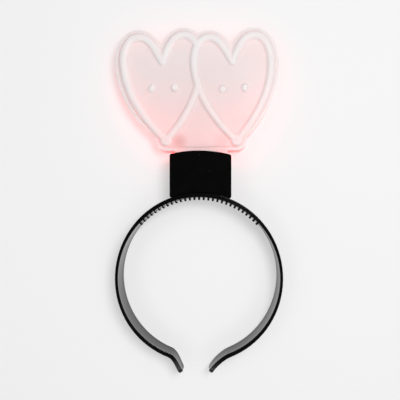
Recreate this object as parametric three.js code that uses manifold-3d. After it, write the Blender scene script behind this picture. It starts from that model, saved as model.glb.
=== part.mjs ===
// Light-up headband lying on its back: a black plastic band with comb teeth inside its crown,
// a battery box on the crown and a hollow frosted double heart, lit red, above the box.
// Millimetres, +Z up off the table, +Y from the tips of the band to the hearts.
// The drawing is laid out from the centre of the band's ring and moved to its bottom centre last.

import * as THREE from 'three';
import { mergeVertices } from 'three/addons/utils/BufferGeometryUtils.js';
import Module from 'manifold-3d';

const wasm = await Module();
wasm.setup();

// Fit between neighbouring pieces, and how far a cut runs past the face it opens
const GAP = 0.3;
const OVERCUT = 1;

// Corners closer than this are one corner
const SAME_CORNER = 1e-4;

// Headband: outside radii from the ring centre, wall thicknesses, and widths off the table
const BAND_RADIUS_CROWN = 65.1;
const BAND_RADIUS_SIDE = 63.7;
const BAND_WALL_CROWN = 3.4;
const BAND_WALL_SIDE = 2.3;
const BAND_WIDTH_CROWN = 19;
const BAND_WIDTH_TIP = 10.5;
const BAND_TAPER_START = -5;
const BAND_TAPER_EASE = 30;
const BAND_LIP = 1.8;
const BAND_CHANNEL_DEPTH = 0.4;
const BAND_CHANNEL_REACH = 1.4;
const BAND_ARC_STEPS = 36;
const BAND_TAPER_STEPS = 8;

// Turned-out tips: where the ring ends, where a tip ends, and the direction it points there.
// The band is sprung a little to the left, so both tips are off its middle by the same amount.
const TIP_ANGLE = THREE.MathUtils.degToRad(158);
const TIP_END = new THREE.Vector2(12.93, -72.88);
const TIP_OFFSET_X = -2.7;
const TIP_DIRECTION = new THREE.Vector2(-0.5, -0.866);
const TIP_LEAD_IN = 5;
const TIP_LEAD_OUT = 6;
const TIP_STEPS = 10;
const TIP_HEADING_ARC = 0.02;
const TIP_ROUND = 4.2;

// Comb teeth inside the crown, in one row behind the front edge of the band
const TOOTH_COUNT = 29;
const TOOTH_SPAN = THREE.MathUtils.degToRad(93.3);
const TOOTH_HEIGHT = 2.6;
const TOOTH_THICK = 1.5;
const TOOTH_ROOT = 0.8;
const TOOTH_EDGE = 0.6;
const TOOTH_DEPTH = 4;

// Battery box
const BOX_CENTRE_X = 1.15;
const BOX_WIDTH = 46.5;
const BOX_DEPTH = 21;
const BOX_TOP_RADIUS = 96.8;
const BOX_CORNER = 1.4;
const BOX_FOOT_CORNER = 2.2;
const BOX_BEVEL = 0.8;
const BOX_BEVEL_STEPS = 2;
const BOX_ARC_STEPS = 10;

// Diffuser, levels off the table
const DIFFUSER_CENTRE_X = 1.55;
const PART_Z = 8;
const STEP_Z = 12.6;
const PLATE_Z = 13.2;
const RIDGE_Z = 14.9;
const SHELL_WALL = 1.6;

// One heart, drawn from its tip at 0, 0: the ridge runs along this line, right half given
const HEART_SPACING = 54.4;
const HEART_TIP_Y = 105.6;
const HEART_LEAN = THREE.MathUtils.degToRad(3.2);
const HEART_NOTCH = [0, 61.0];
const HEART_CURVES = [
  { leave: [4.6, 69.6], arrive: [8.2, 80.6], end: [17.4, 80.6] },
  { leave: [25.5, 80.6], arrive: [29.9, 70.9], end: [29.9, 61.2] },
  { leave: [29.9, 44.9], arrive: [22.5, 22.5], end: [0, 0] },
];
const HEART_STEPS = 9;
const HEART_REACH = 90;

// Where the two hearts cross, from the middle of their tips
const CROSSING = new THREE.Vector2(-2, 42);

// What stands on and around the heart line
const FLANGE = 6.5;
const FLANGE_STEP = 3.0;
const BACK_STEP = 2.0;
const PINCH_START = 0.5;
const PINCH = 0.4;
const PINCH_EASE = 1.5;
const RIDGE_HALF_WIDTH = 2.6;
const RIDGE_ROOT = 0.6;
const RIDGE_STRAIGHT = 0.4;
const RIDGE_ROUND_STEPS = 3;
const BOSS_RADIUS = 4.3;
const STUD_RADIUS = 2.4;
const STUD_STRETCH = 1.2;
const STUD_HEIGHT = 1.5;
const STUD_X = 8.6;
const STUD_Y = 40.4;
const ROUND_SIDES = 28;

// Round lugs at the heart tips, centred a little above them
const LUGS = [
  { side: -1, radius: 8.8 },
  { side: 1, radius: 8.3 },
];
const LUG_RAISE = 0.8;

// Neck of the diffuser in the pocket of the box, and the lamps in it
const NECK_HALF_WIDTH = 20.5;
const NECK_WALL = 1.3;
const NECK_BOTTOM_Z = 3.6;
const NECK_TOP_Z = 12.4;
const NECK_FOOT_Y = 92.2;
const LAMP_SPACING = 32;
const LAMP_RADIUS = 2.5;
const LAMP_COLLAR_RADIUS = 2.8;
const LAMP_COLLAR_HEIGHT = 1;
const LAMP_LENGTH = 11;
const LAMP_DOME_STEPS = 4;
const LAMP_SIDES = 16;

const BLACK_PLASTIC = { color: 0x0b0b0c, roughness: 0.45, metalness: 0 };
const FROSTED_PLASTIC = { color: 0xf4dedd, roughness: 0.5, metalness: 0 };
const RED_LAMP = { color: 0xd8141a, roughness: 0.25, metalness: 0 };

// A closed three.js geometry as a solid that can be joined and cut
function solidOf(geometry) {
  geometry.deleteAttribute('normal');
  geometry.deleteAttribute('uv');
  const merged = mergeVertices(geometry, SAME_CORNER);
  const mesh = new wasm.Mesh({
    numProp: 3,
    vertProperties: new Float32Array(merged.attributes.position.array),
    triVerts: new Uint32Array(merged.index.array),
  });
  return new wasm.Manifold(mesh);
}

// One solid from closed geometries that may overlap
function join(geometries) {
  return geometries.map(solidOf).reduce((whole, solid) => whole.add(solid));
}

// A flat outline raised from one level to another
function prism(shape, bottom, top) {
  const geometry = new THREE.ExtrudeGeometry(shape, { depth: top - bottom, bevelEnabled: false });
  return geometry.translate(0, 0, bottom);
}

function block(x0, x1, y0, y1, z0, z1) {
  const geometry = new THREE.BoxGeometry(x1 - x0, y1 - y0, z1 - z0);
  return geometry.translate((x0 + x1) / 2, (y0 + y1) / 2, (z0 + z1) / 2);
}

// An upright round peg
function peg(radius, x, y, bottom, top) {
  const geometry = new THREE.CylinderGeometry(radius, radius, top - bottom, ROUND_SIDES);
  geometry.rotateX(Math.PI / 2);
  return geometry.translate(x, y, (bottom + top) / 2);
}

function meshOf(name, solid, finish) {
  const { numProp, vertProperties, triVerts } = solid.getMesh();
  const geometry = new THREE.BufferGeometry();
  geometry.setAttribute('position', new THREE.BufferAttribute(vertProperties, numProp));
  geometry.setIndex(new THREE.BufferAttribute(triVerts, 1));
  geometry.computeVertexNormals();
  const mesh = new THREE.Mesh(geometry, new THREE.MeshStandardMaterial(finish));
  mesh.name = name;
  return mesh;
}

// Headband

// A point of the band's outside, moved in by its wall times depth (1 is the inside face)
function bandPoint(angle, depth) {
  return new THREE.Vector2(
    (BAND_RADIUS_SIDE - depth * BAND_WALL_SIDE) * Math.sin(angle),
    (BAND_RADIUS_CROWN - depth * BAND_WALL_CROWN) * Math.cos(angle),
  );
}

// Points of one face of the ring from its left end round the crown to its right end
function bandFace(depth) {
  const points = [];
  for (let i = -BAND_ARC_STEPS; i <= BAND_ARC_STEPS; i += 1) {
    points.push(bandPoint((TIP_ANGLE * i) / BAND_ARC_STEPS, depth));
  }
  return points;
}

// A place on the end of a tip, side -1 left and 1 right, at a depth in its wall
function tipEnd(side, depth) {
  const inward = new THREE.Vector2(TIP_DIRECTION.y, -TIP_DIRECTION.x);
  const end = TIP_END.clone().addScaledVector(inward, depth * BAND_WALL_CROWN);
  return new THREE.Vector2(side * end.x + TIP_OFFSET_X, end.y);
}

// One face of a tip, from the end of the ring to the end of the tip
function tipCurve(side, depth) {
  const start = bandPoint(side * TIP_ANGLE, depth);
  const before = bandPoint(side * (TIP_ANGLE - TIP_HEADING_ARC), depth);
  const heading = start.clone().sub(before).normalize();
  const direction = new THREE.Vector2(side * TIP_DIRECTION.x, TIP_DIRECTION.y);
  const end = tipEnd(side, depth);
  return new THREE.CubicBezierCurve(
    start,
    start.clone().addScaledVector(heading, TIP_LEAD_IN),
    end.clone().addScaledVector(direction, -TIP_LEAD_OUT),
    end,
  );
}

// The band's side view: full width at the crown, narrower from the sides to the round tips
function bandWidthLimit(lip) {
  const middle = BOX_DEPTH / 2;
  const wide = BAND_WIDTH_CROWN / 2 - lip;
  const narrow = BAND_WIDTH_TIP / 2 - lip;
  const top = BAND_RADIUS_CROWN + OVERCUT;
  const foot = tipEnd(1, 0.5).y - BAND_WALL_CROWN / 2;
  const turn = foot + TIP_ROUND;
  const end = Math.max(0, narrow - TIP_ROUND);
  const ease = BAND_TAPER_START - BAND_TAPER_EASE;
  const shape = new THREE.Shape();
  shape.moveTo(top, middle - wide);
  shape.lineTo(top, middle + wide);
  shape.lineTo(BAND_TAPER_START, middle + wide);
  shape.quadraticCurveTo(ease, middle + wide, turn, middle + narrow);
  shape.quadraticCurveTo(foot, middle + narrow, foot, middle + end);
  shape.lineTo(foot, middle - end);
  shape.quadraticCurveTo(foot, middle - narrow, turn, middle - narrow);
  shape.quadraticCurveTo(ease, middle - wide, BAND_TAPER_START, middle - wide);
  const reach = BAND_RADIUS_SIDE + OVERCUT;
  const geometry = new THREE.ExtrudeGeometry(shape, {
    depth: 2 * reach,
    bevelEnabled: false,
    curveSegments: BAND_TAPER_STEPS,
  });
  geometry.translate(0, 0, -reach);
  geometry.rotateX(Math.PI / 2);
  geometry.rotateZ(Math.PI / 2);
  return solidOf(geometry);
}

function bandRing() {
  const outline = [
    ...tipCurve(-1, 0).getPoints(TIP_STEPS).reverse(),
    ...bandFace(0).slice(1, -1),
    ...tipCurve(1, 0).getPoints(TIP_STEPS),
    ...tipCurve(1, 1).getPoints(TIP_STEPS).reverse(),
    ...bandFace(1).slice(1, -1).reverse(),
    ...tipCurve(-1, 1).getPoints(TIP_STEPS),
  ];
  const rounds = [-1, 1].map((side) => {
    const { x, y } = tipEnd(side, 0.5);
    return peg(BAND_WALL_CROWN / 2, x, y, 0, BOX_DEPTH);
  });
  return join([prism(new THREE.Shape(outline), 0, BOX_DEPTH), ...rounds]);
}

// The shallow channel along the inside face, between its two lips
function bandChannel() {
  const floor = 1 - BAND_CHANNEL_DEPTH / BAND_WALL_SIDE;
  const outline = [...bandFace(floor), ...bandFace(BAND_CHANNEL_REACH).reverse()];
  const ring = solidOf(prism(new THREE.Shape(outline), 0, BOX_DEPTH));
  return ring.intersect(bandWidthLimit(BAND_LIP));
}

function combTeeth() {
  const teeth = [];
  const front = (BOX_DEPTH + BAND_WIDTH_CROWN) / 2 - TOOTH_EDGE;
  for (let i = 0; i < TOOTH_COUNT; i += 1) {
    const angle = TOOTH_SPAN * (i / (TOOTH_COUNT - 1) - 0.5);
    const root = bandPoint(angle, 1);
    const reach = root.length() + TOOTH_ROOT;
    const geometry = new THREE.BoxGeometry(TOOTH_THICK, TOOTH_HEIGHT + TOOTH_ROOT, TOOTH_DEPTH);
    geometry.translate(0, reach - (TOOTH_HEIGHT + TOOTH_ROOT) / 2, front - TOOTH_DEPTH / 2);
    teeth.push(geometry.rotateZ(-Math.atan2(root.x, root.y)));
  }
  return teeth;
}

function headband() {
  const band = bandRing().intersect(bandWidthLimit(0)).subtract(bandChannel());
  return band.add(join(combTeeth()));
}

// Diffuser

// Half of the heart line from the notch to the tip, side -1 left and 1 right
function heartLine(side) {
  const line = new THREE.Path();
  line.moveTo(...HEART_NOTCH);
  HEART_CURVES.forEach(({ leave, arrive, end }) => {
    const [p, q, r] = [leave, arrive, end].map(([x, y]) => [side * x, y]);
    line.bezierCurveTo(...p, ...q, ...r);
  });
  return line;
}

// The share of its margin that a heart keeps along its last curve, where it draws in to the tip
function pinch(along) {
  return 1 - PINCH * (Math.max(0, along - PINCH_START) / (1 - PINCH_START)) ** PINCH_EASE;
}

// The half heart from its middle line out to the heart line grown by a margin
function halfHeart(side, grow) {
  const points = [];
  const last = HEART_CURVES.length - 1;
  heartLine(side).curves.forEach((curve, index) => {
    for (let i = index === 0 ? 0 : 1; i <= HEART_STEPS; i += 1) {
      const along = i / HEART_STEPS;
      const tangent = curve.getTangent(along);
      const outward = new THREE.Vector2(-side * tangent.y, side * tangent.x);
      const margin = index === last ? grow * pinch(along) : grow;
      points.push(curve.getPoint(along).addScaledVector(outward, margin));
    }
  });
  return new THREE.Shape([new THREE.Vector2(...HEART_NOTCH), ...points, new THREE.Vector2(0, 0)]);
}

// A shape drawn on one heart, leaned and put on its tip, which -1 left and 1 right
function onHeart(which, geometry) {
  const tipX = DIFFUSER_CENTRE_X + (which * HEART_SPACING) / 2;
  return geometry.rotateZ(HEART_LEAN).translate(tipX, HEART_TIP_Y, 0);
}

function heartBody(which, grow, bottom, top) {
  return [-1, 1].map((side) => onHeart(which, prism(halfHeart(side, grow), bottom, top)));
}

// The whole outline of the diffuser, with the ridge line grown by a margin
function diffuserBody(grow, bottom, top) {
  const lugY = HEART_TIP_Y + LUG_RAISE;
  const [left, right] = LUGS.map(({ side, radius }) => ({
    x: DIFFUSER_CENTRE_X + (side * HEART_SPACING) / 2,
    radius: radius - FLANGE + grow,
  }));
  const between = new THREE.Shape([
    new THREE.Vector2(left.x, lugY - left.radius),
    new THREE.Vector2(right.x, lugY - right.radius),
    new THREE.Vector2(right.x, lugY),
    new THREE.Vector2(DIFFUSER_CENTRE_X + CROSSING.x, HEART_TIP_Y + CROSSING.y),
    new THREE.Vector2(left.x, lugY),
  ]);
  return join([
    ...heartBody(-1, grow, bottom, top),
    ...heartBody(1, grow, bottom, top),
    peg(left.radius, left.x, lugY, bottom, top),
    peg(right.radius, right.x, lugY, bottom, top),
    prism(between, bottom, top),
  ]);
}

// The round-topped ridge along half a heart line
function ridge(side) {
  const line = new THREE.CurvePath();
  heartLine(side).curves.forEach(({ v0, v1, v2, v3 }) => {
    const [a, b, c, d] = [v0, v1, v2, v3].map(({ x, y }) => new THREE.Vector3(x, y, PLATE_Z));
    line.add(new THREE.CubicBezierCurve3(a, b, c, d));
  });
  const height = RIDGE_Z - PLATE_Z;
  const half = RIDGE_HALF_WIDTH;
  const section = new THREE.Shape();
  section.moveTo(RIDGE_ROOT, -half);
  section.lineTo(RIDGE_ROOT, half);
  section.lineTo(-RIDGE_STRAIGHT, half);
  section.quadraticCurveTo(-height, half, -height, 0);
  section.quadraticCurveTo(-height, -half, -RIDGE_STRAIGHT, -half);
  return new THREE.ExtrudeGeometry(section, {
    steps: HEART_CURVES.length * HEART_STEPS,
    curveSegments: RIDGE_ROUND_STEPS,
    extrudePath: line,
  });
}

// The ridges of one heart, which run together at its notch
function heartRidges(which) {
  const notch = peg(RIDGE_HALF_WIDTH, ...HEART_NOTCH, STEP_Z, PLATE_Z + STUD_HEIGHT);
  return join([ridge(-1), ridge(1), notch].map((geometry) => onHeart(which, geometry)));
}

// Both hearts' ridges; the right heart lies in front, so the left one's stop at it
function ridges() {
  const front = join(heartBody(1, 0, PLATE_Z, RIDGE_Z + OVERCUT));
  return heartRidges(-1).subtract(front).add(heartRidges(1));
}

// An oval stud in one side of a heart panel
function stud(side) {
  const geometry = peg(STUD_RADIUS, 0, 0, STEP_Z, PLATE_Z + STUD_HEIGHT);
  return geometry.scale(1, STUD_STRETCH, 1).translate(side * STUD_X, STUD_Y, 0);
}

// Round bosses on the heart tips and the four studs in the heart panels
function bossesAndStuds() {
  return join([-1, 1].flatMap((which) => [
    onHeart(which, peg(BOSS_RADIUS, 0, 0, STEP_Z, RIDGE_Z)),
    onHeart(which, stud(-1)),
    onHeart(which, stud(1)),
  ]));
}

function neckBlock(margin, foot, top) {
  return solidOf(block(
    BOX_CENTRE_X - NECK_HALF_WIDTH - margin,
    BOX_CENTRE_X + NECK_HALF_WIDTH + margin,
    foot,
    top,
    NECK_BOTTOM_Z - margin,
    NECK_TOP_Z + margin,
  ));
}

// The hollow in the diffuser: inside both shells, and down through the neck
function diffuserHollow() {
  const wide = FLANGE - SHELL_WALL;
  return diffuserBody(wide, BACK_STEP + SHELL_WALL, STEP_Z - SHELL_WALL)
    .add(diffuserBody(wide - FLANGE_STEP, SHELL_WALL, PLATE_Z - SHELL_WALL))
    .add(neckBlock(-NECK_WALL, NECK_FOOT_Y - OVERCUT, HEART_TIP_Y));
}

function halfSpace(bottom, top) {
  const reach = HEART_TIP_Y + HEART_REACH;
  return solidOf(block(-reach, reach, 0, reach, bottom, top));
}

function diffuserFront() {
  return diffuserBody(FLANGE, PART_Z, STEP_Z)
    .add(diffuserBody(FLANGE - FLANGE_STEP, PART_Z, PLATE_Z))
    .add(neckBlock(0, NECK_FOOT_Y, HEART_TIP_Y))
    .add(ridges())
    .add(bossesAndStuds())
    .subtract(diffuserHollow())
    .intersect(halfSpace(PART_Z + GAP / 2, RIDGE_Z + OVERCUT));
}

function diffuserBack() {
  return diffuserBody(FLANGE, BACK_STEP, PART_Z)
    .add(diffuserBody(FLANGE - BACK_STEP, 0, PART_Z))
    .add(neckBlock(0, NECK_FOOT_Y, HEART_TIP_Y))
    .subtract(diffuserHollow())
    .intersect(halfSpace(-OVERCUT, PART_Z - GAP / 2));
}

// Battery box: its foot follows the crown of the band, its top is a concentric arc
function batteryBox() {
  const half = BOX_WIDTH / 2 - BOX_BEVEL;
  const foot = BAND_RADIUS_CROWN + GAP + BOX_BEVEL;
  const top = BOX_TOP_RADIUS - BOX_BEVEL;
  const cornerY = (radius, x) => Math.sqrt(radius * radius - x * x);
  const angleAt = (radius, x) => Math.acos(x / radius);
  const left = BOX_CENTRE_X - half;
  const right = BOX_CENTRE_X + half;
  const [rightRound, leftRound] = [right - BOX_CORNER, left + BOX_CORNER];
  const [rightFoot, leftFoot] = [right - BOX_FOOT_CORNER, left + BOX_FOOT_CORNER];
  const shape = new THREE.Shape();
  shape.moveTo(rightFoot, cornerY(foot, rightFoot));
  shape.quadraticCurveTo(right, cornerY(foot, right), right, cornerY(foot, right) + BOX_FOOT_CORNER);
  shape.lineTo(right, cornerY(top, right) - BOX_CORNER);
  shape.quadraticCurveTo(right, cornerY(top, right), rightRound, cornerY(top, rightRound));
  shape.absarc(0, 0, top, angleAt(top, rightRound), angleAt(top, leftRound), false);
  shape.quadraticCurveTo(left, cornerY(top, left), left, cornerY(top, left) - BOX_CORNER);
  shape.lineTo(left, cornerY(foot, left) + BOX_FOOT_CORNER);
  shape.quadraticCurveTo(left, cornerY(foot, left), leftFoot, cornerY(foot, leftFoot));
  shape.absarc(0, 0, foot, angleAt(foot, leftFoot), angleAt(foot, rightFoot), true);
  const geometry = new THREE.ExtrudeGeometry(shape, {
    depth: BOX_DEPTH - 2 * BOX_BEVEL,
    bevelThickness: BOX_BEVEL,
    bevelSize: BOX_BEVEL,
    bevelSegments: BOX_BEVEL_STEPS,
    curveSegments: BOX_ARC_STEPS,
  });
  const body = solidOf(geometry.translate(0, 0, BOX_BEVEL));
  return body.subtract(neckBlock(GAP, NECK_FOOT_Y - GAP, BOX_TOP_RADIUS + OVERCUT));
}

// A red lamp: a collar and a domed body, standing in the neck
function lamp(which) {
  const profile = new THREE.Path();
  profile.moveTo(0, 0);
  profile.lineTo(LAMP_COLLAR_RADIUS, 0);
  profile.lineTo(LAMP_COLLAR_RADIUS, LAMP_COLLAR_HEIGHT);
  profile.lineTo(LAMP_RADIUS, LAMP_COLLAR_HEIGHT);
  profile.absarc(0, LAMP_LENGTH - LAMP_RADIUS, LAMP_RADIUS, 0, Math.PI / 2, false);
  const geometry = new THREE.LatheGeometry(profile.getPoints(LAMP_DOME_STEPS), LAMP_SIDES);
  const x = BOX_CENTRE_X + (which * LAMP_SPACING) / 2;
  return solidOf(geometry.translate(x, NECK_FOOT_Y, PART_Z));
}

const headpiece = new THREE.Group();
headpiece.add(
  meshOf('headband', headband(), BLACK_PLASTIC),
  meshOf('battery_box', batteryBox(), BLACK_PLASTIC),
  meshOf('diffuser_front', diffuserFront(), FROSTED_PLASTIC),
  meshOf('diffuser_back', diffuserBack(), FROSTED_PLASTIC),
  meshOf('led_left', lamp(-1), RED_LAMP),
  meshOf('led_right', lamp(1), RED_LAMP),
);

// The origin is the bottom centre of the whole object
const box = new THREE.Box3().setFromObject(headpiece);
const centre = box.getCenter(new THREE.Vector3());
headpiece.position.set(-centre.x, -centre.y, -box.min.z);

export default headpiece;
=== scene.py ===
from math import atan2, cos, pi, radians, sin, sqrt

import bmesh
import bpy
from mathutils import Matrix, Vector


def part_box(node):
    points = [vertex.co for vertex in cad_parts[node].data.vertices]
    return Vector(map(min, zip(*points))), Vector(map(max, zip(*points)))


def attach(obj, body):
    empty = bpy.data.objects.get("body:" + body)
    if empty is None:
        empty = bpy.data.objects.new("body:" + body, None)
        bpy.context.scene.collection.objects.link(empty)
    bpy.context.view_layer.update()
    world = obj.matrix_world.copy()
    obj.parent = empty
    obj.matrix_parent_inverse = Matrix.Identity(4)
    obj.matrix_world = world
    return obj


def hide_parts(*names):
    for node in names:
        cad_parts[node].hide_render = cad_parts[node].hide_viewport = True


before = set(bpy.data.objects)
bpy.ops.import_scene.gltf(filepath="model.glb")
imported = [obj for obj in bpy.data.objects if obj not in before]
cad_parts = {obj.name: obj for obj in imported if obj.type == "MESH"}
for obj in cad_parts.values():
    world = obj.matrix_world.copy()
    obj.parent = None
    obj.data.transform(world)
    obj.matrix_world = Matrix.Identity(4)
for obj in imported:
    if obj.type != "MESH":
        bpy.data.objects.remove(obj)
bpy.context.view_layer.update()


# Headband
# A springy strip of black plastic in the shape of a C, moulded in one with a lip along both edges
# of its inside and a comb of short teeth under the crown. Its tips turn outwards.

MM = 0.001
SAME_PLACE = 0.01 * MM
MERGE_DISTANCE = 0.005 * MM
SMOOTH_ANGLE = radians(38)
NOISE_RANGE = (0.3, 0.7)
BAND_CROWN_RADIUS = 65.1 * MM
BAND_SIDE_RADIUS = 63.65 * MM
BAND_CROWN_WALL = 3.4 * MM
BAND_SIDE_WALL = 2.3 * MM
BAND_TIP_WIDTH = 10.5 * MM
BAND_EDGE_ROUND = 0.28 * MM
BAND_EDGE_STEPS = 3
SECTION_LINES = (0.3, 0.1)
LIP_WIDTH = 1.8 * MM
LIP_SLOPE = 2.2 * MM
CHANNEL_DEPTH = 0.4 * MM
TAPER_START = -5 * MM
BAND_STEPS = 80
TIP_ANGLE = radians(158)
TIP_END = Vector((11.45, -71.95)) * MM
TIP_OFFSET = -2.7 * MM
TIP_DIRECTION = Vector((-0.5, -0.866))
TIP_LEAD_IN = 5 * MM
TIP_LEAD_OUT = 6 * MM
TIP_ROUND = 4.2 * MM
TIP_STEPS = 24
TIP_FACE_SLACK = 0.015
TIP_NOSE_ANGLES = [radians(angle) for angle in (25, 45, 62, 78, 88)]
TOOTH_COUNT = 29
TOOTH_SPAN = radians(93.3)
TOOTH_PITCH = TOOTH_SPAN / (TOOTH_COUNT - 1)
TOOTH_SIZE = Vector((1.75, 3.0, 4)) * MM
TOOTH_EDGE = 0.6 * MM
TOOTH_ROOT = 0.8 * MM
TOOTH_TIP_TAPER = (0.95, 1, 0.97)
TOOTH_ROUND = 0.4 * MM
TOOTH_ROUND_STEPS = 2
BAND_BLACK = (0.002, 0.002, 0.0022, 1)
BAND_SCUFFED_BLACK = (0.007, 0.007, 0.0075, 1)
BAND_IOR = 1.62
BAND_ROUGHNESS = (0.08, 0.13)
BAND_GRAIN = 0.9 / MM
BAND_GRAIN_DEPTH = 0.05 * MM
BAND_GRAIN_STRENGTH = 0.05
STREAKS_ROUND = 2.5
STREAKS_ACROSS = 1.1 / MM
STREAK_DEPTH = 0.1 * MM
STREAK_STRENGTH = 0.25
SCUFFED_STREAKS = (0.55, 0.75)

band_low, band_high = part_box("headband")
RING_CENTRE = Vector((
    (band_low.x + band_high.x) / 2,
    band_high.y - BAND_CROWN_RADIUS,
    (band_low.z + band_high.z) / 2,
))
BAND_WIDTH = band_high.z - band_low.z
BAND_OVAL_OUTSIDE = BAND_SIDE_RADIUS / BAND_CROWN_RADIUS
BAND_OVAL_INSIDE = (BAND_SIDE_RADIUS - BAND_SIDE_WALL) / (BAND_CROWN_RADIUS - BAND_CROWN_WALL)


def open_piece(name):
    """Names the primitive just added, puts its place into its mesh and opens it in edit mode."""
    piece = bpy.context.object
    piece.name = piece.data.name = name
    bpy.ops.object.transform_apply(location=True, rotation=True, scale=True)
    bpy.ops.object.mode_set(mode="EDIT")
    return piece


def close_piece():
    """Merges doubles, turns the faces outwards and goes back to object mode."""
    bpy.ops.mesh.select_all(action="SELECT")
    bpy.ops.mesh.remove_doubles(threshold=MERGE_DISTANCE)
    bpy.ops.mesh.normals_make_consistent(inside=False)
    bpy.ops.object.mode_set(mode="OBJECT")


def pick(piece, kind, wanted):
    """Selects the corners, edges or faces of a piece in edit mode that pass a test on their place."""
    bpy.ops.mesh.select_mode(type=kind)
    bpy.ops.mesh.select_all(action="DESELECT")
    mesh = bmesh.from_edit_mesh(piece.data)
    parts = {"VERT": mesh.verts, "EDGE": mesh.edges, "FACE": mesh.faces}[kind]
    for part in parts:
        if wanted(part):
            part.select_set(True)
    mesh.select_flush_mode()
    bmesh.update_edit_mesh(piece.data)


def apply_boolean(piece, tool, operation):
    """Joins the tool to a piece or cuts it out of it, and removes the tool."""
    bpy.ops.object.select_all(action="DESELECT")
    bpy.context.view_layer.objects.active = piece
    piece.select_set(True)
    bpy.ops.object.modifier_add(type="BOOLEAN")
    change = piece.modifiers[-1]
    change.operation = operation
    change.solver = "MANIFOLD"
    change.object = tool
    bpy.ops.object.modifier_apply(modifier=change.name)
    bpy.data.objects.remove(tool)


def smooth_rounds():
    """Shades the rounded edges of the active piece smooth and keeps its flat faces flat."""
    bpy.ops.object.shade_smooth_by_angle(angle=SMOOTH_ANGLE)
    bpy.ops.object.modifier_add(type="WEIGHTED_NORMAL")
    even = bpy.context.object.modifiers[-1]
    even.keep_sharp = True
    bpy.ops.object.modifier_apply(modifier=even.name)


def new_finish(name):
    """A new material and its shader."""
    finish = bpy.data.materials.new(name)
    finish.use_nodes = True
    return finish, finish.node_tree.nodes["Principled BSDF"]


def add_node(finish, kind, inputs, **options):
    """Adds a shader node with its options, and links or sets the inputs given by name."""
    node = finish.node_tree.nodes.new("ShaderNode" + kind)
    for name, value in options.items():
        setattr(node, name, value)
    for name, value in inputs.items():
        if isinstance(value, bpy.types.NodeSocket):
            finish.node_tree.links.new(value, node.inputs[name])
        else:
            node.inputs[name].default_value = value
    return node


def graded(finish, value, low, high, start=0.0, end=1.0):
    """A value that goes smoothly from start to end as another goes from low to high."""
    limits = {"Value": value, "From Min": low, "From Max": high, "To Min": start, "To Max": end}
    return add_node(finish, "MapRange", limits, interpolation_type="SMOOTHSTEP").outputs["Result"]


def blended(finish, share, first, second):
    """A colour between two colours."""
    mix = add_node(finish, "Mix", {"Factor": share}, data_type="RGBA")
    for socket, colour in ((mix.inputs[6], first), (mix.inputs[7], second)):
        if isinstance(colour, bpy.types.NodeSocket):
            finish.node_tree.links.new(colour, socket)
        else:
            socket.default_value = colour
    return mix.outputs[2]


def raised_grain(finish, pattern, strength, depth):
    """A fine relief on the surface that follows a pattern."""
    relief = {"Height": pattern.outputs["Fac"], "Strength": strength, "Distance": depth}
    return add_node(finish, "Bump", relief)


def coat(piece, finish):
    """Gives a piece one finish all over."""
    piece.data.materials.clear()
    piece.data.materials.append(finish)


def band_finish():
    """Satin black plastic with faint streaks along the band, as drawn out of its mould."""
    finish, shader = new_finish("black_band_plastic")
    links = finish.node_tree.links
    place = add_node(finish, "TexCoord", {}).outputs["Object"]
    centred = add_node(finish, "VectorMath", {0: place, 1: RING_CENTRE}, operation="SUBTRACT")
    split = add_node(finish, "SeparateXYZ", {"Vector": centred.outputs["Vector"]})
    turn = add_node(finish, "Math", {0: split.outputs["X"], 1: split.outputs["Y"]}, operation="ARCTAN2")
    around = add_node(finish, "Math", {0: turn.outputs["Value"], 1: STREAKS_ROUND}, operation="MULTIPLY")
    across = add_node(finish, "Math", {0: split.outputs["Z"], 1: STREAKS_ACROSS}, operation="MULTIPLY")
    along = {"X": around.outputs["Value"], "Y": across.outputs["Value"]}
    streak_place = add_node(finish, "CombineXYZ", along).outputs["Vector"]
    streaks = add_node(finish, "TexNoise", {"Vector": streak_place, "Scale": 1.0, "Detail": 3.0})
    grain = add_node(finish, "TexNoise", {"Vector": place, "Scale": BAND_GRAIN, "Detail": 2.0})
    rough = graded(finish, streaks.outputs["Fac"], *NOISE_RANGE, *BAND_ROUGHNESS)
    links.new(rough, shader.inputs["Roughness"])
    scuffs = graded(finish, streaks.outputs["Fac"], *SCUFFED_STREAKS)
    links.new(blended(finish, scuffs, BAND_BLACK, BAND_SCUFFED_BLACK), shader.inputs["Base Color"])
    fine = raised_grain(finish, grain, BAND_GRAIN_STRENGTH, BAND_GRAIN_DEPTH)
    drawn = raised_grain(finish, streaks, STREAK_STRENGTH, STREAK_DEPTH)
    links.new(fine.outputs["Normal"], drawn.inputs["Normal"])
    links.new(drawn.outputs["Normal"], shader.inputs["Normal"])
    shader.inputs["IOR"].default_value = BAND_IOR
    return finish


def band_angle(point):
    """The angle round the ring from the crown, clockwise seen from above."""
    return atan2(point.x - RING_CENTRE.x, point.y - RING_CENTRE.y)


def band_width(y):
    """How wide the band is at a distance in front of the ring's centre."""
    foot = TIP_END.y - BAND_CROWN_WALL
    along = max(0, (TAPER_START - y) / (TAPER_START - foot))
    return BAND_WIDTH - (BAND_WIDTH - BAND_TIP_WIDTH) * along ** 2


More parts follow.
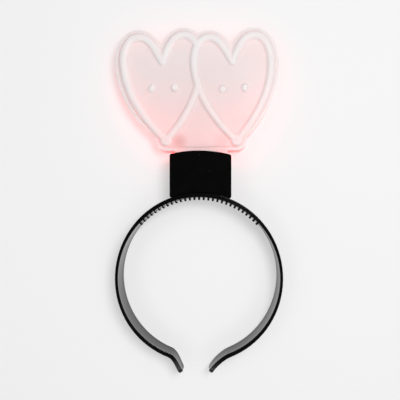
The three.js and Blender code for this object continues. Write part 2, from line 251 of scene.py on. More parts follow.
def crown_section():
    """The band's section at the crown: five even faces, moved to make a channel between two lips."""
    middle = RING_CENTRE + Vector((0, BAND_CROWN_RADIUS - BAND_CROWN_WALL / 2, 0))
    bpy.ops.mesh.primitive_grid_add(
        x_subdivisions=5, y_subdivisions=1, size=1, location=middle, rotation=(0, -pi / 2, 0)
    )
    band = open_piece("band")
    bpy.ops.transform.resize(value=(1, BAND_CROWN_WALL, BAND_WIDTH), center_override=middle)
    lip_edge = BAND_WIDTH / 2 - LIP_WIDTH
    channel_edge = lip_edge - LIP_SLOPE
    for share, wanted in zip(SECTION_LINES, (lip_edge, channel_edge)):
        start = share * BAND_WIDTH
        pick(band, "VERT", lambda v: abs(abs(v.co.z - middle.z) - start) < SAME_PLACE)
        bpy.ops.transform.resize(value=(1, 1, wanted / start), center_override=middle)
    in_channel = channel_edge + SAME_PLACE
    pick(band, "VERT", lambda v: v.co.y < middle.y and abs(v.co.z - middle.z) < in_channel)
    bpy.ops.transform.translate(value=(0, CHANNEL_DEPTH, 0))
    pick(band, "VERT", lambda v: abs(v.co.z - middle.z) > lip_edge + LIP_WIDTH / 2)
    bpy.ops.mesh.bevel(affect="VERTICES", offset=BAND_EDGE_ROUND, segments=BAND_EDGE_STEPS)
    return band


def spin_ring(band):
    """Spins the section round the ring, narrows it towards the tips and makes the ring oval."""
    bpy.ops.mesh.select_mode(type="FACE")
    bpy.ops.mesh.select_all(action="SELECT")
    bpy.ops.transform.rotate(value=-TIP_ANGLE, orient_axis="Z", center_override=RING_CENTRE)
    bpy.ops.mesh.spin(steps=BAND_STEPS, angle=2 * TIP_ANGLE, center=RING_CENTRE, axis=(0, 0, 1))
    step = 2 * TIP_ANGLE / BAND_STEPS
    for i in range(BAND_STEPS + 1):
        angle = -TIP_ANGLE + i * step
        narrow = band_width(BAND_CROWN_RADIUS * cos(angle)) / BAND_WIDTH
        if narrow < 1:
            pick(band, "VERT", lambda v: abs(band_angle(v.co) - angle) < step / 3)
            bpy.ops.transform.resize(value=(1, 1, narrow), center_override=RING_CENTRE)
    middle_radius = BAND_CROWN_RADIUS - BAND_CROWN_WALL / 2
    pick(band, "VERT", lambda v: (v.co - RING_CENTRE).xy.length < middle_radius)
    bpy.ops.transform.resize(value=(BAND_OVAL_INSIDE, 1, 1), center_override=RING_CENTRE)
    bpy.ops.mesh.select_all(action="INVERT")
    bpy.ops.transform.resize(value=(BAND_OVAL_OUTSIDE, 1, 1), center_override=RING_CENTRE)


def along_curve(handles, t):
    """The place and the direction at a share of the way along a curve with four handles."""
    shares = ((1 - t) ** 3, 3 * t * (1 - t) ** 2, 3 * t ** 2 * (1 - t), t ** 3)
    slopes = (-(1 - t) ** 2, (1 - t) * (1 - 3 * t), t * (2 - 3 * t), t ** 2)
    place = sum((h * s for h, s in zip(handles, shares)), Vector((0, 0)))
    towards = sum((h * s for h, s in zip(handles, slopes)), Vector((0, 0)))
    return place, towards.normalized()


def tip_line(side):
    """Places along the middle of one tip, side -1 left and 1 right, with the heading at each."""
    rx = BAND_SIDE_RADIUS - BAND_SIDE_WALL / 2
    ry = BAND_CROWN_RADIUS - BAND_CROWN_WALL / 2
    start = Vector((side * rx * sin(TIP_ANGLE), ry * cos(TIP_ANGLE)))
    heading = Vector((side * rx * cos(TIP_ANGLE), -ry * sin(TIP_ANGLE))).normalized()
    end = Vector((side * TIP_END.x + TIP_OFFSET, TIP_END.y))
    out = Vector((side * TIP_DIRECTION.x, TIP_DIRECTION.y))
    handles = [start, start + heading * TIP_LEAD_IN, end - out * TIP_LEAD_OUT, end]
    line = []
    for i in range(TIP_STEPS + 1):
        place, towards = along_curve(handles, i / TIP_STEPS)
        line.append((RING_CENTRE + place.to_3d(), atan2(towards.x, towards.y)))
    return line


def tip_width(place, end):
    """How wide the band is on a tip that runs to a round end."""
    short = max(0, TIP_ROUND - (end - place).length)
    return band_width(place.y - RING_CENTRE.y) - 2 * (TIP_ROUND - sqrt(TIP_ROUND ** 2 - short ** 2))


def draw_tip(band, side):
    """Draws one end of the ring out along its tip by extruding, turning and narrowing it."""
    line = tip_line(side)
    place, heading = line[-1]
    forward = Vector((sin(heading), cos(heading), 0)) * BAND_CROWN_WALL / 2
    end = place + forward
    end_angle = side * TIP_ANGLE
    pick(band, "FACE", lambda f: abs(band_angle(f.calc_center_median()) - end_angle) < TIP_FACE_SLACK)
    for (last, last_heading), (place, heading) in zip(line, line[1:]):
        bpy.ops.mesh.extrude_region_move(TRANSFORM_OT_translate={"value": place - last})
        turn = (heading - last_heading + pi) % (2 * pi) - pi
        bpy.ops.transform.rotate(value=turn, orient_axis="Z", center_override=place)
        narrow = tip_width(place, end) / tip_width(last, end)
        bpy.ops.transform.resize(value=(1, 1, narrow), center_override=place)
    last_angle = 0
    for angle in TIP_NOSE_ANGLES:
        last = place
        place = line[-1][0] + forward * sin(angle)
        thin = cos(angle) / cos(last_angle)
        narrow = tip_width(place, end) / tip_width(last, end)
        bpy.ops.mesh.extrude_region_move(TRANSFORM_OT_translate={"value": place - last})
        bpy.ops.transform.resize(value=(thin, thin, narrow), center_override=place)
        last_angle = angle


def comb_teeth():
    """One tooth under the crown, tapered and rounded, then copied round to the whole comb."""
    root = BAND_CROWN_RADIUS - BAND_CROWN_WALL + TOOTH_ROOT
    front = BAND_WIDTH / 2 - TOOTH_EDGE
    middle = RING_CENTRE + Vector((0, root - TOOTH_SIZE.y / 2, front - TOOTH_SIZE.z / 2))
    bpy.ops.object.select_all(action="DESELECT")
    bpy.ops.mesh.primitive_cube_add(size=1, location=middle)
    teeth = open_piece("comb_teeth")
    bpy.ops.transform.resize(value=TOOTH_SIZE, center_override=middle)
    pick(teeth, "FACE", lambda f: f.normal.y < -0.9)
    bpy.ops.transform.resize(value=TOOTH_TIP_TAPER, center_override=middle)
    pick(teeth, "EDGE", lambda e: min(v.co.y for v in e.verts) < middle.y)
    bpy.ops.mesh.bevel(offset=TOOTH_ROUND, segments=TOOTH_ROUND_STEPS)
    bpy.ops.mesh.select_all(action="SELECT")
    bpy.ops.transform.rotate(value=-TOOTH_SPAN / 2, orient_axis="Z", center_override=RING_CENTRE)
    for _ in range(TOOTH_COUNT - 1):
        bpy.ops.mesh.duplicate()
        bpy.ops.transform.rotate(value=TOOTH_PITCH, orient_axis="Z", center_override=RING_CENTRE)
    bpy.ops.mesh.select_all(action="SELECT")
    bpy.ops.transform.resize(value=(BAND_OVAL_INSIDE, 1, 1), center_override=RING_CENTRE)
    close_piece()
    return teeth


bpy.ops.object.select_all(action="DESELECT")
band = crown_section()
spin_ring(band)
draw_tip(band, -1)
draw_tip(band, 1)
close_piece()
apply_boolean(band, comb_teeth(), "UNION")
smooth_rounds()
coat(band, band_finish())
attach(band, "root")
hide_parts("headband")


# Battery box
# A black plastic case on the crown that holds the cells. It has a fine matt grain, its foot
# follows the band and its top is open to take the neck of the hearts.

BOX_MIDDLE_X = RING_CENTRE.x + 1.15 * MM
BOX_TOP_RADIUS = 96.8 * MM
BOX_GAP = 0.3 * MM
BOX_CORNER = 1.4 * MM
BOX_FOOT_CORNER = 2.2 * MM
BOX_EDGE_ROUND = 0.8 * MM
BOX_CORNER_STEPS = 5
BOX_EDGE_STEPS = 4
BOX_EDGE_ANGLE = radians(35)
BOX_FLAT_ANGLE = radians(0.5)
BOX_SPIN = radians(27)
BOX_STEPS = 36
NECK_HALF_WIDTH = 20.5 * MM
NECK_BOTTOM = 3.6 * MM
NECK_TOP = 12.4 * MM
NECK_FOOT_Y = RING_CENTRE.y + 92.2 * MM
BOX_BLACK = (0.0018, 0.0016, 0.0016, 1)
BOX_DUST = (0.05, 0.048, 0.046, 1)
BOX_DUST_SPACING = 0.16 / MM
BOX_DUST_SIZE = (0.03, 0.05)
BOX_GRAIN = 1.6 / MM
BOX_GRAIN_DEPTH = 0.05 * MM
BOX_GRAIN_STRENGTH = 0.3
BOX_CLOUD = 0.12 / MM
BOX_ROUGHNESS = (0.7, 0.85)
BOX_SHEEN = 0.03

box_low, box_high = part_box("battery_box")


def box_block(name, low, high):
    """A plain block between two corners, in object mode."""
    bpy.ops.object.select_all(action="DESELECT")
    bpy.ops.mesh.primitive_cube_add(size=1, location=(low + high) / 2)
    block = open_piece(name)
    bpy.ops.transform.resize(value=high - low, center_override=(low + high) / 2)
    bpy.ops.object.mode_set(mode="OBJECT")
    return block


def neck_block(name, margin, foot, head):
    """The flat neck of the hearts that stands in the box, grown or shrunk by a margin."""
    low = Vector((BOX_MIDDLE_X - NECK_HALF_WIDTH - margin, foot, NECK_BOTTOM - margin))
    high = Vector((BOX_MIDDLE_X + NECK_HALF_WIDTH + margin, head, NECK_TOP + margin))
    return box_block(name, low, high)


def battery_case():
    """A ring sector spun about the band's centre, cut off square at both sides and rounded."""
    foot = BAND_CROWN_RADIUS + BOX_GAP
    height = box_high.z - box_low.z
    middle = Vector((RING_CENTRE.x, RING_CENTRE.y + (foot + BOX_TOP_RADIUS) / 2, height / 2))
    bpy.ops.object.select_all(action="DESELECT")
    bpy.ops.mesh.primitive_plane_add(size=1, location=middle, rotation=(0, -pi / 2, 0))
    case = open_piece("battery_case")
    bpy.ops.transform.resize(value=(1, BOX_TOP_RADIUS - foot, height), center_override=middle)
    bpy.ops.transform.rotate(value=-BOX_SPIN, orient_axis="Z", center_override=RING_CENTRE)
    bpy.ops.mesh.spin(steps=BOX_STEPS, angle=2 * BOX_SPIN, center=RING_CENTRE, axis=(0, 0, 1))
    for x, outwards in ((box_low.x, -1), (box_high.x, 1)):
        bpy.ops.mesh.select_all(action="SELECT")
        bpy.ops.mesh.bisect(
            plane_co=(x, 0, 0), plane_no=(outwards, 0, 0), use_fill=True, clear_outer=True
        )
    bpy.ops.mesh.select_all(action="SELECT")
    bpy.ops.mesh.dissolve_limited(angle_limit=BOX_FLAT_ANGLE)
    half = (box_high.x - box_low.x) / 2

    def side_corner(edge, at_foot):
        one, other = (v.co for v in edge.verts)
        upright = abs(one.z - other.z) > height / 2
        at_side = abs(abs(one.x - BOX_MIDDLE_X) - half) < SAME_PLACE
        return upright and at_side and (one.y < middle.y) == at_foot

    for at_foot, corner in ((True, BOX_FOOT_CORNER), (False, BOX_CORNER)):
        pick(case, "EDGE", lambda e: side_corner(e, at_foot))
        bpy.ops.mesh.bevel(offset=corner, segments=BOX_CORNER_STEPS)
    close_piece()
    bpy.ops.object.modifier_add(type="BEVEL")
    rounding = case.modifiers[-1]
    rounding.width = BOX_EDGE_ROUND
    rounding.segments = BOX_EDGE_STEPS
    rounding.limit_method = "ANGLE"
    rounding.angle_limit = BOX_EDGE_ANGLE
    bpy.ops.object.modifier_apply(modifier=rounding.name)
    bpy.ops.object.mode_set(mode="EDIT")
    close_piece()
    pocket = neck_block("neck_pocket", BOX_GAP, NECK_FOOT_Y - BOX_GAP, box_high.y + MM)
    apply_boolean(case, pocket, "DIFFERENCE")
    smooth_rounds()
    return case


def box_finish():
    """Matt black plastic with a fine moulded grain and a few specks of dust."""
    finish, shader = new_finish("black_box_plastic")
    links = finish.node_tree.links
    place = add_node(finish, "TexCoord", {}).outputs["Object"]
    grain = add_node(finish, "TexNoise", {"Vector": place, "Scale": BOX_GRAIN, "Detail": 3.0})
    cloud = add_node(finish, "TexNoise", {"Vector": place, "Scale": BOX_CLOUD, "Detail": 4.0})
    dust = add_node(finish, "TexVoronoi", {"Vector": place, "Scale": BOX_DUST_SPACING})
    speck = graded(finish, dust.outputs["Distance"], *BOX_DUST_SIZE, 1.0, 0.0)
    links.new(blended(finish, speck, BOX_BLACK, BOX_DUST), shader.inputs["Base Color"])
    rough = graded(finish, cloud.outputs["Fac"], *NOISE_RANGE, *BOX_ROUGHNESS)
    links.new(rough, shader.inputs["Roughness"])
    shader.inputs["Specular IOR Level"].default_value = BOX_SHEEN
    moulded = raised_grain(finish, grain, BOX_GRAIN_STRENGTH, BOX_GRAIN_DEPTH)
    links.new(moulded.outputs["Normal"], shader.inputs["Normal"])
    return finish


battery_box = battery_case()
coat(battery_box, box_finish())
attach(battery_box, "root")
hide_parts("battery_box")


# Back shell of the hearts
# The back half of a hollow double heart of frosted plastic. It is moulded with a stepped rim and
# half of the neck, and is glued to the front half along the middle of the rim.

PART_LINE = 8 * MM
PART_GAP = 0.3 * MM
PART_OVERRUN = 2 * MM
FLANGE = 6.45 * MM
BACK_STEP = 2 * MM
PINCH_START = 0.5
PINCH = 0.4
PINCH_EASE = 1.5
LUG_RADII = [8.8 * MM, 8.3 * MM]
LUG_RAISE = 0.8 * MM
RING_FOOT = Vector((RING_CENTRE.x, RING_CENTRE.y, 0))
HEART_MIDDLE = RING_FOOT + Vector((1.55, 105.6, 0)) * MM
HEART_SPACING = 54.4 * MM
HEART_LEAN = radians(3.2)
HEART_CROSSING = Vector((-2, 42)) * MM
# Half of a heart in millimetres from its tip: the notch, the top of the lobe, the side and the tip.
HEART_HALF = [
    {"before": (-4.6, 69.6), "at": (0, 61.0), "after": (4.6, 69.6)},
    {"before": (8.2, 80.6), "at": (17.4, 80.6), "after": (25.5, 80.6)},
    {"before": (29.9, 70.9), "at": (29.9, 61.2), "after": (29.9, 44.9)},
    {"before": (22.5, 22.5), "at": (0, 0), "after": (-22.5, 22.5)},
]
# Each level of the hearts: how far it goes past the heart line, its bottom and its top.
BACK_LEVELS = [
    (FLANGE, BACK_STEP, PART_LINE + PART_OVERRUN),
    (FLANGE - BACK_STEP, 0, PART_LINE + PART_OVERRUN),
]
HOLLOW_LEVELS = [(4.8 * MM, 3.6 * MM, 11 * MM), (1.8 * MM, 1.6 * MM, 11.6 * MM)]
NECK_WALL = 1.3 * MM
SHELL_VOXEL = 0.45 * MM
HOLLOW_VOXEL = 0.8 * MM
SHELL_SMOOTH_STEPS = 4
SHELL_SMOOTH_SHARE = 0.5
SHELL_SMOOTH_ANGLE = radians(45)
ROUND_SIDES = 48
PEG_ROUND_STEPS = 5
HEART_STEPS = 16
LAMP_TIPS = [RING_FOOT + Vector((x, 105, 8)) * MM for x in (-16.0, 17.5)]
# Painted glow: the lamps' red light painted into the plastic's colour, deeper over each lamp and pinker
# near them on the panels and beads.
LAMP_PAINTED_GLOW = (0.64, 0.43, 0.43, 1)
LAMP_PAINTED_GLOW_REACH = (3 * MM, 10 * MM)
LAMP_PAINTED_GLOW_STRENGTHS = (0.9, 0.3)
GLOW_MIDDLE = RING_FOOT + Vector((1.55, 96, 8)) * MM
GLOW_RED = (1.0, 0.01, 0.01, 1)
PANEL_FAR = (0.855, 0.865, 0.86, 1)
PANEL_PAINTED_GLOW = (0.81, 0.735, 0.73, 1)
PANEL_REACH = (8 * MM, 100 * MM)
PANEL_GLOW = (0.006, 0.07)
BEAD_FAR = (0.855, 0.86, 0.855, 1)
BEAD_PAINTED_GLOW = (0.835, 0.79, 0.785, 1)
BEAD_HEIGHTS = (13.4 * MM, 14.6 * MM)
FLANGE_WHITE = (0.835, 0.84, 0.835, 1)
FLANGE_HEIGHTS = (12.7 * MM, 13.1 * MM)
# Painted light: steep slopes are painted paler, lifting their shade and drawing a pale line round the rim.
SLOPE_PAINTED_LIGHT = (0.96, 0.955, 0.95, 1)
PAINTED_LIGHT_SLOPES = (0.4, 0.95)
PAINTED_LIGHT_STRENGTH = 0.8
# Painted glow: the lower walls of the rim are painted pink for the lamps' red light coming out through
# them.
RIM_PAINTED_GLOW = (0.86, 0.46, 0.46, 1)
RIM_HEIGHTS = (4 * MM, 11.8 * MM)
RIM_SLOPES = (0.3, 0.9)
RIM_GLOW = (5.4, 1.4)
RIM_GLOW_REACH = (20 * MM, 110 * MM)
FROST_SCATTER = 3 * MM
FROST_GRAIN = 2.2 / MM
FROST_GRAIN_DEPTH = 0.04 * MM
FROST_GRAIN_STRENGTH = 0.12
FROST_CLOUD = 0.08 / MM
FROST_ROUGHNESS = (0.42, 0.55)


def on_heart(which, point):
    """A place drawn from a heart's tip, leaned and put on that tip, which -1 left and 1 right."""
    x, y = point
    tip = HEART_MIDDLE + Vector((which * HEART_SPACING / 2, 0, 0))
    across = Vector((cos(HEART_LEAN), sin(HEART_LEAN), 0))
    along = Vector((-sin(HEART_LEAN), cos(HEART_LEAN), 0))
    return tip + x * across + y * along


def new_line(corners, kind):
    """A flat curve with a number of corners, made from a two-point curve by extruding its end."""
    bpy.ops.object.select_all(action="DESELECT")
    bpy.ops.curve.primitive_bezier_curve_add(enter_editmode=True)
    bpy.ops.curve.spline_type_set(type=kind)
    bpy.ops.curve.select_all(action="DESELECT")
    line = bpy.context.object
    spline = line.data.splines[0]
    if kind == "POLY":
        spline.points[-1].select = True
    else:
        spline.bezier_points[-1].select_control_point = True
        spline.bezier_points[-1].select_left_handle = True
        spline.bezier_points[-1].select_right_handle = True
    for _ in range(corners - 2):
        bpy.ops.curve.extrude_move()
    return line


def flat_outline(points):
    """A closed flat curve with straight sides through the points given."""
    line = new_line(len(points), "POLY")
    bpy.ops.curve.cyclic_toggle()
    bpy.ops.object.mode_set(mode="OBJECT")
    line.data.dimensions = "2D"
    for corner, (x, y) in zip(line.data.splines[0].points, points):
        corner.co = (x, y, 0, 1)
    return line


def heart_line(which, side):
    """Half of a heart line, from its notch to its tip, side -1 left and 1 right."""
    line = new_line(len(HEART_HALF), "BEZIER")
    bpy.ops.object.mode_set(mode="OBJECT")
    line.data.dimensions = "2D"
    line.data.resolution_u = HEART_STEPS
    for point, row in zip(line.data.splines[0].bezier_points, HEART_HALF):
        places = {name: on_heart(which, (side * x * MM, y * MM)) for name, (x, y) in row.items()}
        point.handle_left_type = point.handle_right_type = "FREE"
        point.co = places["at"]
        point.handle_left = places["before"]
        point.handle_right = places["after"]
    return line


def half_heart(which, side, grow):
    """Half a heart from its middle line out to the heart line grown by a margin, less at the tip."""
    points = [Vector(HEART_HALF[0]["at"]) * MM]
    for row, following in zip(HEART_HALF, HEART_HALF[1:]):
        corners = (row["at"], row["after"], following["before"], following["at"])
        handles = [Vector(corner) * MM for corner in corners]
        for i in range(HEART_STEPS + 1):
            t = i / HEART_STEPS
            place, towards = along_curve(handles, t)
            draw_in = max(0, t - PINCH_START) / (1 - PINCH_START) if following is HEART_HALF[-1] else 0
            margin = grow * (1 - PINCH * draw_in ** PINCH_EASE)
            points.append(place + Vector((-towards.y, towards.x)) * margin)
    points.append(Vector(HEART_HALF[-1]["at"]) * MM)
    return flat_outline([on_heart(which, (side * x, y)).xy for x, y in points])


def as_mesh(line):
    """Turns a curve into a closed mesh with its place in the mesh."""
    bpy.ops.object.select_all(action="DESELECT")
    line.select_set(True)
    bpy.context.view_layer.objects.active = line
    bpy.ops.object.convert(target="MESH")
    bpy.ops.object.transform_apply(location=True, rotation=True, scale=True)
    bpy.ops.object.mode_set(mode="EDIT")
    close_piece()
    return line


def raised(line, bottom, top):
    """A closed flat curve raised to a solid between two levels."""
    line.data.fill_mode = "BOTH"
    line.data.extrude = (top - bottom) / 2
    line.location.z = (bottom + top) / 2
    return as_mesh(line)


def swept(line, profile):
    """A flat curve with a profile drawn along it, closed at both ends."""
    line.data.bevel_mode = "OBJECT"
    line.data.bevel_object = profile
    line.data.use_fill_caps = True
    return as_mesh(line)


def peg(place, radius, bottom, top, stretch=1.0, rounding=0.0):
    """An upright peg, round or stretched along the heart, with a rounded top edge if asked."""
    bpy.ops.object.select_all(action="DESELECT")
    bpy.ops.mesh.primitive_cylinder_add(
        vertices=ROUND_SIDES,
        radius=radius,
        depth=top - bottom,
        location=(place.x, place.y, (bottom + top) / 2),
        rotation=(0, 0, HEART_LEAN),
        scale=(1, stretch, 1),
    )
    upright = open_piece("peg")
    if rounding:
        pick(upright, "EDGE", lambda e: min(v.co.z for v in e.verts) > top - SAME_PLACE)
        bpy.ops.mesh.bevel(offset=rounding, segments=PEG_ROUND_STEPS)
    bpy.ops.object.mode_set(mode="OBJECT")
    return upright


def double_heart(levels):
    """The bodies of the double heart, each level grown past the heart line by its own margin."""
    bodies = []
    for grow, bottom, top in levels:
        left, right = (on_heart(which, (0, 0)) + Vector((0, LUG_RAISE, 0)) for which in (-1, 1))
        left_lug, right_lug = (radius - FLANGE + grow for radius in LUG_RADII)
        between = [
            (left.x, left.y - left_lug),
            (right.x, right.y - right_lug),
            right.xy,
            HEART_MIDDLE.xy + HEART_CROSSING,
            left.xy,
        ]
        bodies.append(raised(flat_outline(between), bottom, top))
        for which, place, lug in ((-1, left, left_lug), (1, right, right_lug)):
            bodies.append(peg(place, lug, bottom, top))
            bodies += [raised(half_heart(which, side, grow), bottom, top) for side in (-1, 1)]
    return bodies


def fuse(name, bodies, voxel):
    """Melts overlapping bodies into one skin and leaves it the active piece."""
    bpy.ops.object.select_all(action="DESELECT")
    for body in bodies:
        body.select_set(True)
    bpy.context.view_layer.objects.active = bodies[0]
    bpy.ops.object.join()
    piece = bpy.context.object
    piece.name = piece.data.name = name
    bpy.ops.object.modifier_add(type="REMESH")
    skin = piece.modifiers[-1]
    skin.mode = "VOXEL"
    skin.voxel_size = voxel
    bpy.ops.object.modifier_apply(modifier=skin.name)
    return piece


def heart_shell(name, bodies, keep):
    """Fuses and softens the hearts, keeps one half, -1 back and 1 front, and hollows it."""
    shell = fuse(name, bodies, SHELL_VOXEL)
    bpy.ops.object.modifier_add(type="SMOOTH")
    softening = shell.modifiers[-1]
    softening.factor = SHELL_SMOOTH_SHARE
    softening.iterations = SHELL_SMOOTH_STEPS
    bpy.ops.object.modifier_apply(modifier=softening.name)
    bpy.ops.object.mode_set(mode="EDIT")
    bpy.ops.mesh.select_all(action="SELECT")
    bpy.ops.mesh.bisect(
        plane_co=(0, 0, PART_LINE + keep * PART_GAP / 2),
        plane_no=(0, 0, -keep),
        use_fill=True,
        clear_outer=True,
    )
    close_piece()
    hollow = double_heart(HOLLOW_LEVELS)
    hollow.append(neck_block("neck_hollow", -NECK_WALL, NECK_FOOT_Y - MM, HEART_MIDDLE.y))
    apply_boolean(shell, fuse("heart_hollow", hollow, HOLLOW_VOXEL), "DIFFERENCE")
    bpy.ops.object.shade_smooth_by_angle(angle=SHELL_SMOOTH_ANGLE)
    return shell


def distance_to(finish, place, point):
    """How far a place on the piece is from a point."""
    return add_node(finish, "VectorMath", {0: place, 1: point}, operation="DISTANCE").outputs["Value"]


def frosted_finish():
    """Frosted plastic lit red from inside, with that light painted into its colour: pinker near and over
    the lamps, pink on its lower rim and paler on steep slopes, and with red light given off from its rim.
    """
    finish, shader = new_finish("frosted_heart_plastic")
    links = finish.node_tree.links
    place = add_node(finish, "TexCoord", {}).outputs["Object"]
    height = add_node(finish, "SeparateXYZ", {"Vector": place}).outputs["Z"]
    normal = add_node(finish, "NewGeometry", {}).outputs["Normal"]
    facing = add_node(finish, "SeparateXYZ", {"Vector": normal})
    upright = add_node(finish, "Math", {0: facing.outputs["Z"]}, operation="ABSOLUTE").outputs["Value"]
    wall = graded(finish, upright, *RIM_SLOPES, 1.0, 0.0)
    from_lamps = distance_to(finish, place, GLOW_MIDDLE)
    # Painted glow: the panels and beads are painted pinker near the lamps and deeper pink over each lamp,
    # for the lamps' red light.
    near = graded(finish, from_lamps, *PANEL_REACH, 1.0, 0.0)
    panel = blended(finish, near, PANEL_FAR, PANEL_PAINTED_GLOW)
    for tip, strength in zip(LAMP_TIPS, LAMP_PAINTED_GLOW_STRENGTHS):
        spot = graded(finish, distance_to(finish, place, tip), *LAMP_PAINTED_GLOW_REACH, strength, 0.0)
        panel = blended(finish, spot, panel, LAMP_PAINTED_GLOW)
    bead = blended(finish, near, BEAD_FAR, BEAD_PAINTED_GLOW)
    top = blended(finish, graded(finish, height, *BEAD_HEIGHTS), panel, bead)
    top = blended(finish, graded(finish, height, *FLANGE_HEIGHTS, 1.0, 0.0), top, FLANGE_WHITE)
    # Painted light: steep slopes painted paler to lift their shade.
    top = blended(finish, graded(finish, upright, *PAINTED_LIGHT_SLOPES, PAINTED_LIGHT_STRENGTH, 0.0), top, SLOPE_PAINTED_LIGHT)
    # Painted glow: the lower rim walls are painted pink, and give off red light, for the lamps' light
    # through them.
    low = graded(finish, height, *RIM_HEIGHTS, 1.0, 0.0)
    rim = add_node(finish, "Math", {0: low, 1: wall}, operation="MULTIPLY").outputs["Value"]
    links.new(blended(finish, rim, top, RIM_PAINTED_GLOW), shader.inputs["Base Color"])
    shader.inputs["Subsurface Weight"].default_value = 1.0
    shader.inputs["Subsurface Radius"].default_value = (1, 1, 1)
    shader.inputs["Subsurface Scale"].default_value = FROST_SCATTER
    shader.inputs["Emission Color"].default_value = GLOW_RED
    # The shell gives off red light in place of the lamps' light passing through it: most from its lower
    # rim, a little from the panels near the lamps.
    rim_glow = graded(finish, from_lamps, *RIM_GLOW_REACH, *RIM_GLOW)
    panel_glow = graded(finish, near, 0.0, 1.0, *PANEL_GLOW)
    glow = add_node(finish, "Math", {0: rim, 1: rim_glow, 2: panel_glow}, operation="MULTIPLY_ADD")
    links.new(glow.outputs["Value"], shader.inputs["Emission Strength"])
    frost = add_node(finish, "TexNoise", {"Vector": place, "Scale": FROST_GRAIN, "Detail": 2.0})
    cloud = add_node(finish, "TexNoise", {"Vector": place, "Scale": FROST_CLOUD, "Detail": 3.0})
    rough = graded(finish, cloud.outputs["Fac"], *NOISE_RANGE, *FROST_ROUGHNESS)
    links.new(rough, shader.inputs["Roughness"])
    frosting = raised_grain(finish, frost, FROST_GRAIN_STRENGTH, FROST_GRAIN_DEPTH)
    links.new(frosting.outputs["Normal"], shader.inputs["Normal"])
    return finish


frosted = frosted_finish()
back_bodies = double_heart(BACK_LEVELS) + [neck_block("neck", 0, NECK_FOOT_Y, HEART_MIDDLE.y)]
back_shell = heart_shell("back_shell", back_bodies, -1)
coat(back_shell, frosted)
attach(back_shell, "root")
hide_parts("diffuser_back")


# Front shell of the hearts
# The front half of the double heart, of the same frosted plastic. A raised bead follows each heart
# line, the right heart in front of the left, with a boss on each tip and two studs in each heart.

FLANGE_STEP = 3 * MM
STEP_LEVEL = 12.6 * MM
PLATE_LEVEL = 13.2 * MM
BEAD_TOP = 14.9 * MM
BEAD_FOOT_WIDTH = 3.0 * MM
BEAD_ROOT = 0.6 * MM
BEAD_FULLNESS = 3.6
BEAD_FLARE = 1.1
BEAD_STEPS = 16
NOTCH_PEG_RADIUS = 2.6 * MM
BOSS_RADIUS = 4.3 * MM
BOSS_ROUND = 1.2 * MM
STUD_RADIUS = 2.4 * MM
STUD_STRETCH = 1.2
STUD_ROUND = 1.1 * MM
STUD_TOP = 14.7 * MM
STUD_PLACE = Vector((8.6, 40.4)) * MM
FRONT_LEVELS = [
    (FLANGE, PART_LINE - PART_OVERRUN, STEP_LEVEL),
    (FLANGE - FLANGE_STEP, PART_LINE - PART_OVERRUN, PLATE_LEVEL),
]


def bead_profile():
    """The bead's section: a flat top with round shoulders that run down to the plate."""
    points = [(BEAD_FOOT_WIDTH, PLATE_LEVEL - BEAD_ROOT)]
    for i in range(BEAD_STEPS + 1):
        share = 1 - 2 * i / BEAD_STEPS
        rise = (BEAD_TOP - PLATE_LEVEL) * (1 - abs(share) ** BEAD_FULLNESS) ** BEAD_FLARE
        points.append((BEAD_FOOT_WIDTH * share, PLATE_LEVEL + rise))
    points.append((-BEAD_FOOT_WIDTH, PLATE_LEVEL - BEAD_ROOT))
    return flat_outline(points)


def heart_relief():
    """The beads, bosses and studs on the front, with the left heart's beads cut at the right heart."""
    profile = bead_profile()
    below, above = PLATE_LEVEL - BEAD_ROOT - MM, BEAD_TOP + MM
    relief = []
    for which in (-1, 1):
        for side in (-1, 1):
            bead = swept(heart_line(which, side), profile)
            if which == -1:
                for half in (-1, 1):
                    apply_boolean(bead, raised(half_heart(1, half, 0), below, above), "DIFFERENCE")
            relief.append(bead)
            stud = on_heart(which, (side * STUD_PLACE.x, STUD_PLACE.y))
            relief.append(peg(stud, STUD_RADIUS, STEP_LEVEL, STUD_TOP, STUD_STRETCH, STUD_ROUND))
        notch = on_heart(which, Vector(HEART_HALF[0]["at"]) * MM)
        relief.append(peg(notch, NOTCH_PEG_RADIUS, STEP_LEVEL, STUD_TOP, rounding=STUD_ROUND))
        relief.append(peg(on_heart(which, (0, 0)), BOSS_RADIUS, STEP_LEVEL, BEAD_TOP, rounding=BOSS_ROUND))
    bpy.data.objects.remove(profile)
    return relief


front_bodies = double_heart(FRONT_LEVELS) + [neck_block("neck", 0, NECK_FOOT_Y, HEART_MIDDLE.y)]
front_shell = heart_shell("front_shell", front_bodies + heart_relief(), 1)
coat(front_shell, frosted)
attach(front_shell, "root")
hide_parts("diffuser_front")


# Lamps
# Two small red lamps in the neck that light the hearts from below, each a clear red dome on a
# collar. They stand inside the closed shells, so the solids are kept as they are.

LAMP_RED = (0.6, 0.01, 0.01, 1)
LAMP_DEEP_RED = (0.35, 0.0, 0.0, 1)
LAMP_CLOUD = 0.5 / MM
LAMP_ROUGHNESS = (0.12, 0.2)
LAMP_GLOW = 2


def lamp_finish():
    """Clear red resin, lit, a little deeper red in patches."""
    finish, shader = new_finish("red_lamp_resin")
    links = finish.node_tree.links
    place = add_node(finish, "TexCoord", {}).outputs["Object"]
    cloud = add_node(finish, "TexNoise", {"Vector": place, "Scale": LAMP_CLOUD, "Detail": 2.0})
    links.new(blended(finish, cloud.outputs["Fac"], LAMP_RED, LAMP_DEEP_RED), shader.inputs["Base Color"])
    rough = graded(finish, cloud.outputs["Fac"], *NOISE_RANGE, *LAMP_ROUGHNESS)
    links.new(rough, shader.inputs["Roughness"])
    shader.inputs["Emission Color"].default_value = GLOW_RED
    shader.inputs["Emission Strength"].default_value = LAMP_GLOW
    return finish


lamp_resin = lamp_finish()
for lamp in ("led_left", "led_right"):
    coat(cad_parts[lamp], lamp_resin)


# Floor, light and camera
# A plain pale floor under a soft ring of light from all round and a stronger soft light from the
# right, seen from straight above.

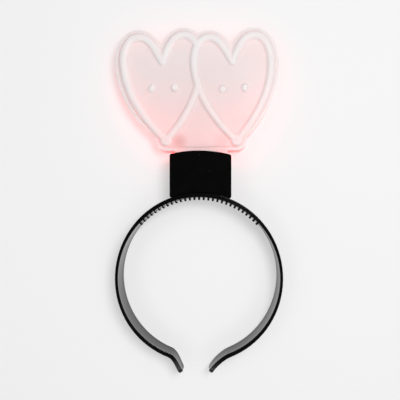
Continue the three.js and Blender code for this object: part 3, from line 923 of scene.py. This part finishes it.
FLOOR_SIZE = 8000 * MM
FLOOR_WHITE = (0.46, 0.46, 0.46, 1)
FLOOR_GLOW_WHITE = (1, 1, 1, 1)
FLOOR_GLOW = 0.468
FLOOR_ROUGHNESS = 0.9
# How bright the sky is at heights from the horizon, 0, to straight up, 1.
SKY_HEIGHTS = (0.0, 0.58, 0.69, 0.80, 0.845, 0.88, 1.0)
SKY_LEVELS = (0.17, 0.21, 0.95, 1.25, 0.95, 0.05, 0.02)
KEY_PLACE = Vector((140, 95, 420)) * MM
KEY_RADIUS = 95 * MM
KEY_ENERGY = 21.7
CAMERA_HEIGHT = 310 * MM
CAMERA_FOCUS_PIXELS = 384
IMAGE_PIXELS = 400
CENTRE_PIXEL = (218, 208)
CAMERA_PLACE = Vector((15.24, -6.40)) * MM
CAMERA_NEAREST = 10 * MM
SENSOR_WIDTH = 36

bpy.ops.object.select_all(action="DESELECT")
bpy.ops.mesh.primitive_plane_add(size=FLOOR_SIZE)
floor = bpy.context.object
floor.name = "floor"
floor_finish, floor_shader = new_finish("pale_floor")
floor_shader.inputs["Base Color"].default_value = FLOOR_WHITE
floor_shader.inputs["Emission Color"].default_value = FLOOR_GLOW_WHITE
floor_shader.inputs["Emission Strength"].default_value = FLOOR_GLOW
floor_shader.inputs["Roughness"].default_value = FLOOR_ROUGHNESS
floor_shader.inputs["Specular IOR Level"].default_value = 0.0
coat(floor, floor_finish)

sky = bpy.data.worlds.new("studio")
sky.use_nodes = True
bpy.context.scene.world = sky
direction = add_node(sky, "TexCoord", {}).outputs["Generated"]
elevation = add_node(sky, "SeparateXYZ", {"Vector": direction}).outputs["Z"]
bands = add_node(sky, "ValToRGB", {"Fac": elevation})
bands.color_ramp.interpolation = "EASE"
for _ in SKY_HEIGHTS[2:]:
    bands.color_ramp.elements.new(0.5)
for stop, height, level in zip(bands.color_ramp.elements, SKY_HEIGHTS, SKY_LEVELS):
    stop.position = height
    stop.color = (level, level, level, 1)
sky.node_tree.links.new(bands.outputs["Color"], sky.node_tree.nodes["Background"].inputs["Color"])

bpy.ops.object.light_add(type="POINT", location=KEY_PLACE)
key = bpy.context.object
key.name = "key_light"
key.data.energy = KEY_ENERGY
key.data.shadow_soft_size = KEY_RADIUS
key.data.use_nodes = True
even = add_node(key.data, "LightFalloff", {"Strength": 1.0}).outputs["Constant"]
key.data.node_tree.links.new(even, key.data.node_tree.nodes["Emission"].inputs["Strength"])

bpy.ops.object.camera_add(location=(CAMERA_PLACE.x, CAMERA_PLACE.y, CAMERA_HEIGHT), rotation=(0, 0, 0))
camera = bpy.context.object
camera.data.sensor_width = SENSOR_WIDTH
camera.data.lens = SENSOR_WIDTH * CAMERA_FOCUS_PIXELS / IMAGE_PIXELS
camera.data.shift_x = (IMAGE_PIXELS / 2 - CENTRE_PIXEL[0]) / IMAGE_PIXELS
camera.data.shift_y = (CENTRE_PIXEL[1] - IMAGE_PIXELS / 2) / IMAGE_PIXELS
camera.data.clip_start = CAMERA_NEAREST
bpy.context.scene.camera = camera
bpy.context.scene.view_settings.view_transform = "Standard"
